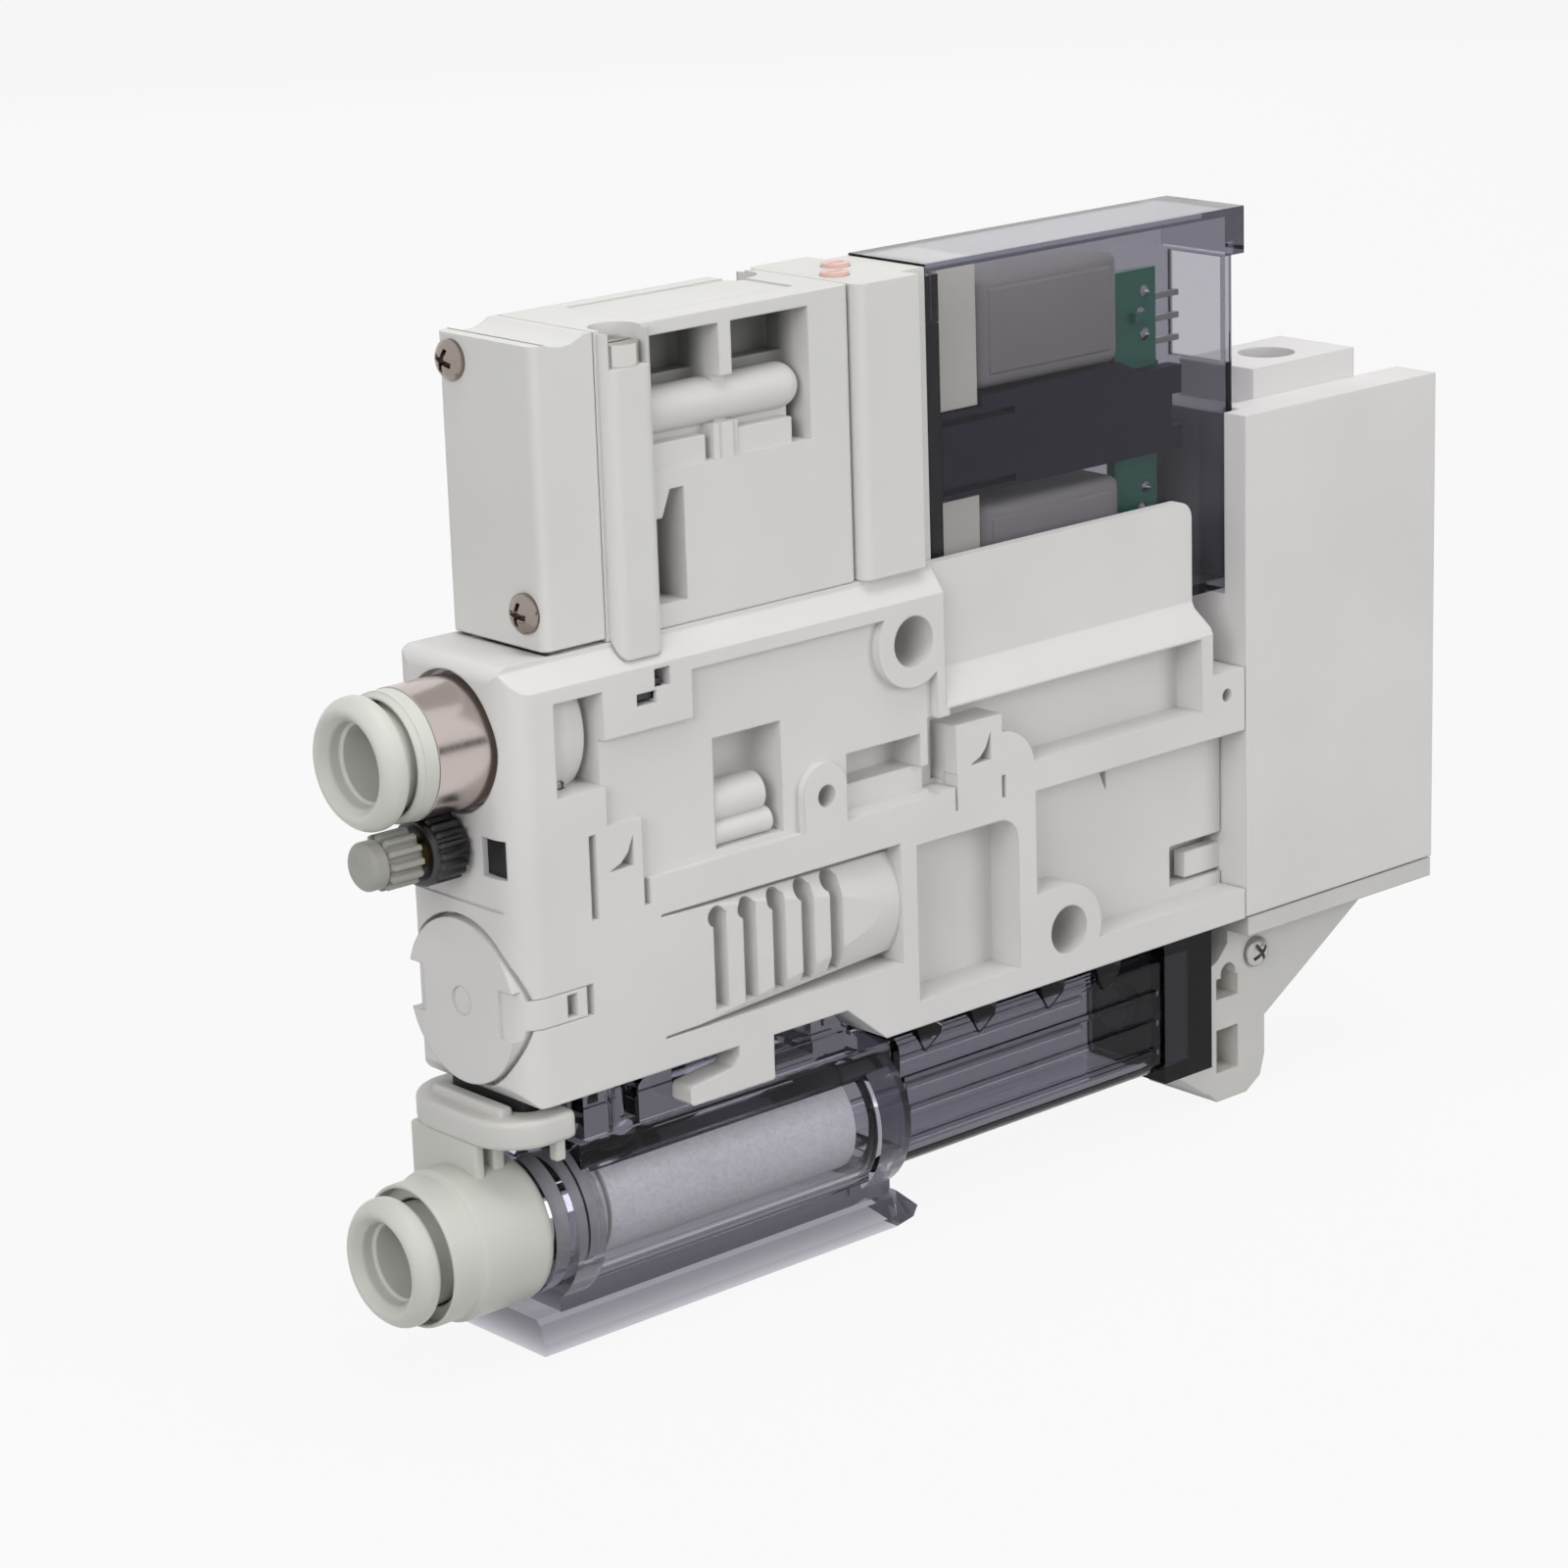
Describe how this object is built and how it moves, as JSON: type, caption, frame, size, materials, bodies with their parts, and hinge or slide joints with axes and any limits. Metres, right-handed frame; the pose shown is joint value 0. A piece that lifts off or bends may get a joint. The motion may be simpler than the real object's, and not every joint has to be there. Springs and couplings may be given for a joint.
{
  "type": "vacuum ejector unit",
  "caption": "Slim stackable vacuum ejector unit with supply and release valves, suction filter, exhaust silencer and push-in tube fittings.",
  "frame": {"origin": "under the middle of the flat foot of the filter case, on the mid-plane of the unit", "axes": "+X from the port face towards the silencer, +Z from the filter up to the valve, +Y across the thickness of the unit"},
  "size_m": [0.1194, 0.015, 0.0835],
  "materials": {
    "body_plastic": "fine matt moulded",
    "valve_plastic": "fine matt moulded",
    "white_plastic": "satin moulded",
    "clip_plastic": "satin moulded",
    "nickel": "bright nickel plate",
    "steel": "plain steel",
    "bronzed_steel": "passivated screws",
    "rubber": "soft",
    "knob_plastic": "ribbed",
    "dark_nut": "knurled, blackened",
    "brass": "turned",
    "smoke_clear": "clear smoke polycarbonate",
    "white_felt": "pressed fibre",
    "spool_aluminium": "ground",
    "override_plastic": "satin",
    "clear_plastic": "clear",
    "cream_plastic": "moulded nylon",
    "copper_wire": "enamelled winding",
    "dark_plastic": "moulded",
    "board": "solder mask",
    "gold": "plated pins"
  },
  "bodies": {
    "unit": {"ejector_body": "body_plastic", "supply_fitting": "nickel", "supply_guide_ring": "white_plastic", "supply_collet": "steel", "supply_tube_seal": "rubber", "supply_fitting_seal": "rubber", "fitting_clip": "steel", "end_plug": "body_plastic", "end_plug_seal": "rubber", "nozzle": "brass", "diffuser": "body_plastic", "diffuser_seal": "rubber", "absorber_sleeve": "white_felt", "check_valve": "rubber", "vacuum_port": "white_plastic", "vacuum_collet": "steel", "vacuum_tube_seal": "rubber", "vacuum_port_seal": "rubber", "port_clip": "clip_plastic", "filter_case": "smoke_clear", "filter_element": "white_felt", "filter_case_seal": "rubber", "suction_duct": "smoke_clear", "duct_plug": "rubber", "tail_bracket": "clip_plastic", "bracket_screw": "steel", "silencer_case": "body_plastic", "silencer_element": "white_felt", "valve_body": "valve_plastic", "valve_end_cap": "valve_plastic", "end_cap_screws": "bronzed_steel", "valve_gasket": "rubber", "valve_screws": "steel", "valve_screw_nuts": "steel", "supply_spring": "steel", "release_spring": "steel", "pilot_adapter": "valve_plastic", "pilot_gasket": "rubber", "light_guide": "clear_plastic", "supply_bobbin": "cream_plastic", "release_bobbin": "cream_plastic", "supply_coil": "copper_wire", "release_coil": "copper_wire", "supply_can": "steel", "release_can": "steel", "terminal_holder": "dark_plastic", "circuit_board": "board", "connector_pins": "gold", "pilot_cover": "smoke_clear"},
    "supply_bush": {"supply_release_bush": "white_plastic"},
    "vacuum_bush": {"vacuum_release_bush": "white_plastic"},
    "needle": {"needle": "brass"},
    "needle_knob": {"needle_knob": "knob_plastic"},
    "lock_nut": {"needle_lock_nut": "dark_nut"},
    "supply_override": {"supply_override": "override_plastic"},
    "release_override": {"release_override": "override_plastic"},
    "supply_spool": {"supply_spool": "spool_aluminium"},
    "release_spool": {"release_spool": "spool_aluminium"},
    "supply_plunger": {"supply_plunger": "steel"},
    "release_plunger": {"release_plunger": "steel"}
  },
  "joints": [
    {"name": "supply_bush_slide", "type": "slide", "parent": "unit", "child": "supply_bush", "axis": [1, 0, 0], "range_m": [0, 0.0008], "stiffness_N_per_m": 400},
    {"name": "vacuum_bush_slide", "type": "slide", "parent": "unit", "child": "vacuum_bush", "axis": [1, 0, 0], "range_m": [0, 0.0008], "stiffness_N_per_m": 400},
    {"name": "needle_feed", "type": "slide", "parent": "unit", "child": "needle", "axis": [-1, 0, 0], "range_m": [0, 0.002]},
    {"name": "knob_turn", "type": "hinge", "parent": "needle", "child": "needle_knob", "pos_m": [-0.0279, 0, 0.0433], "axis": [-1, 0, 0], "range_deg": [0, 1800]},
    {"name": "lock_nut_turn", "type": "hinge", "parent": "unit", "child": "lock_nut", "pos_m": [-0.0239, 0, 0.0433], "axis": [-1, 0, 0], "range_deg": [0, 180]},
    {"name": "supply_override_slide", "type": "slide", "parent": "unit", "child": "supply_override", "axis": [0, 0, -1], "range_m": [0, 0.0006], "stiffness_N_per_m": 400},
    {"name": "release_override_slide", "type": "slide", "parent": "unit", "child": "release_override", "axis": [0, 0, -1], "range_m": [0, 0.0006], "stiffness_N_per_m": 400},
    {"name": "supply_spool_slide", "type": "slide", "parent": "unit", "child": "supply_spool", "axis": [-1, 0, 0], "range_m": [0, 0.0008], "stiffness_N_per_m": 300, "deforming": ["supply_spring"]},
    {"name": "release_spool_slide", "type": "slide", "parent": "unit", "child": "release_spool", "axis": [-1, 0, 0], "range_m": [0, 0.0008], "stiffness_N_per_m": 300, "deforming": ["release_spring"]},
    {"name": "supply_plunger_slide", "type": "slide", "parent": "unit", "child": "supply_plunger", "axis": [1, 0, 0], "range_m": [0, 0.0006], "stiffness_N_per_m": 300},
    {"name": "release_plunger_slide", "type": "slide", "parent": "unit", "child": "release_plunger", "axis": [1, 0, 0], "range_m": [0, 0.0006], "stiffness_N_per_m": 300}
  ],
  "couplings": [
    {"joint": "knob_turn", "follows": "needle_feed", "rad_per_m": 15708}
  ]
}
